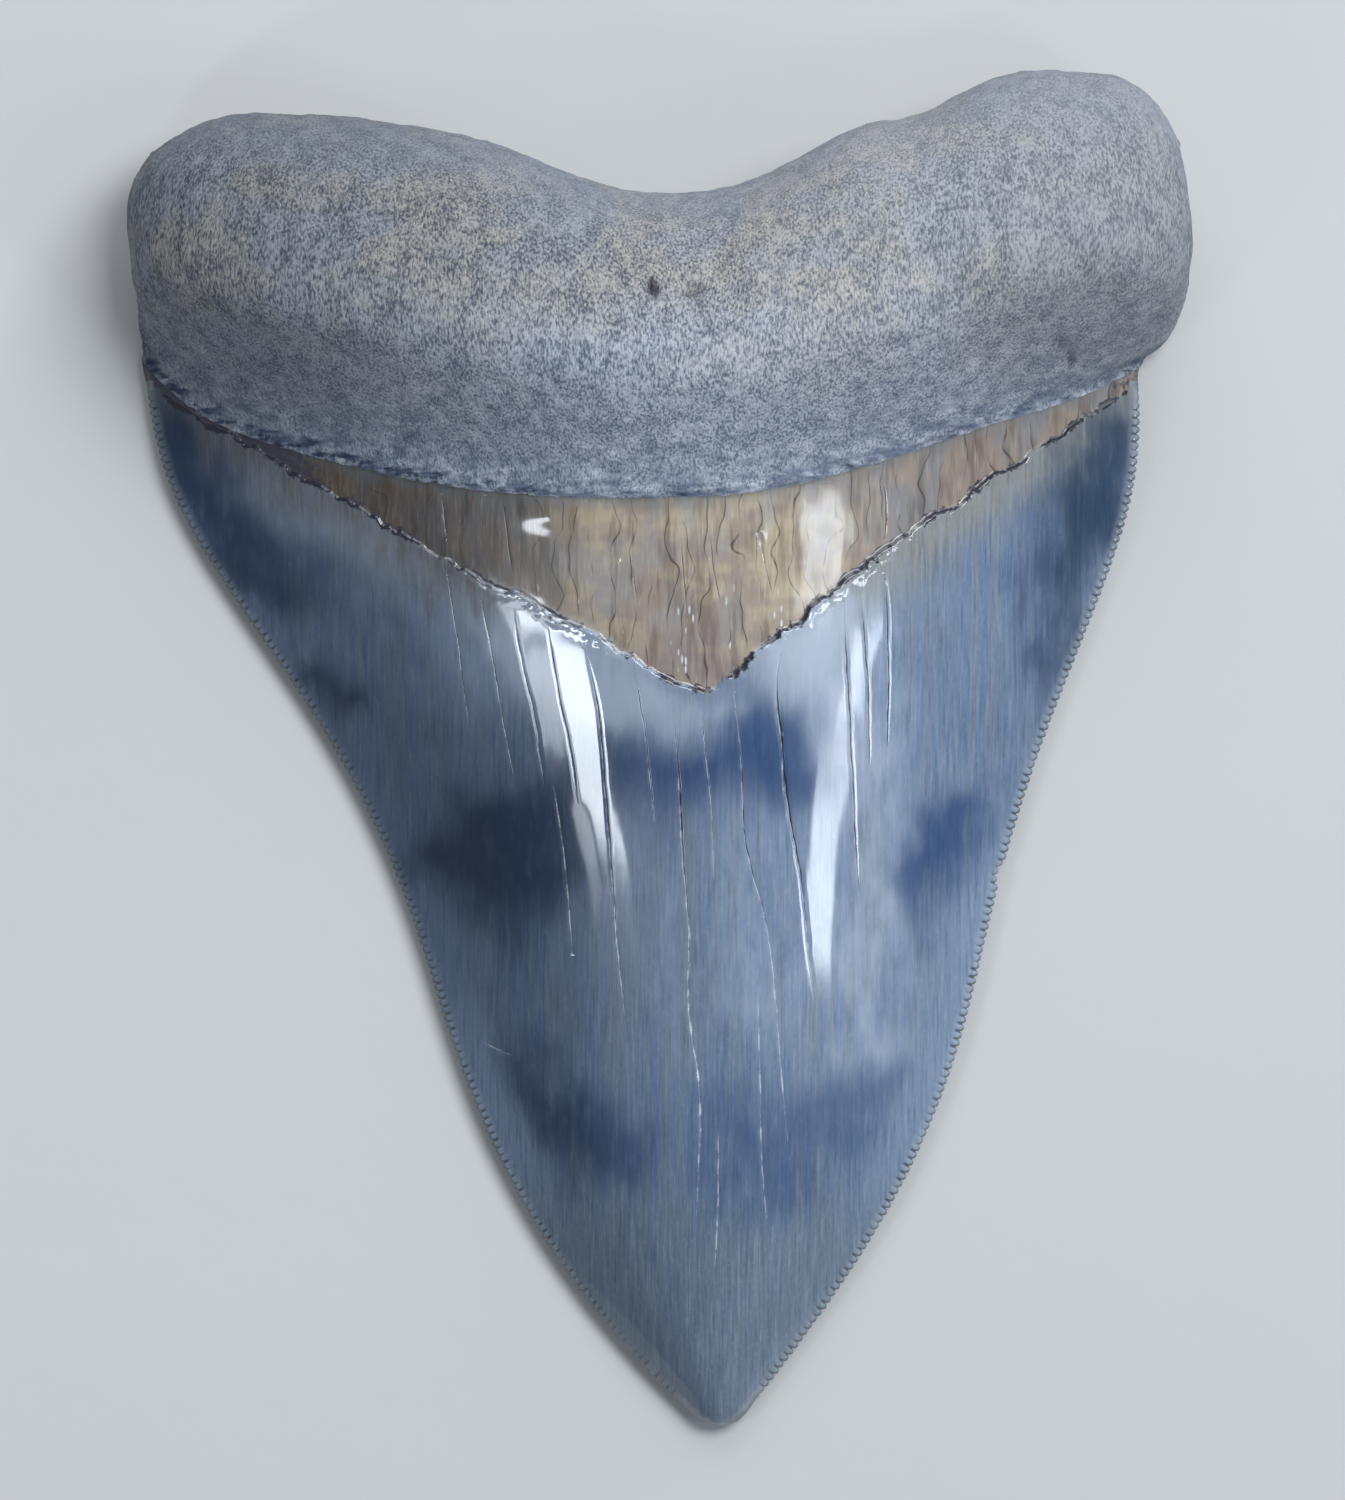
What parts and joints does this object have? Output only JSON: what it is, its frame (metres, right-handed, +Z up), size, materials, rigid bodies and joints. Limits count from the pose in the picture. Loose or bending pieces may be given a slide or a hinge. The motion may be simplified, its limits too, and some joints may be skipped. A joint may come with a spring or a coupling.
{
  "type": "fossil shark tooth",
  "caption": "Large triangular fossil shark tooth with a thick two-lobed root, a bare chevron below it and a smooth blade with finely serrated edges, lying on its flat outer face.",
  "frame": {"origin": "on the surface that the tooth lies on, under the middle of its outline", "axes": "+X across the tooth, +Y from the tip of the blade to the root, +Z up, out of the domed inner (lingual) face"},
  "size_m": [0.0919, 0.1168, 0.0261],
  "materials": {
    "fossil": "polished blue-grey enamel with darker clouds, a tan chevron and a matt, porous grey root"
  },
  "bodies": {
    "root": {"megalodon_tooth": "fossil"}
  },
  "joints": []
}
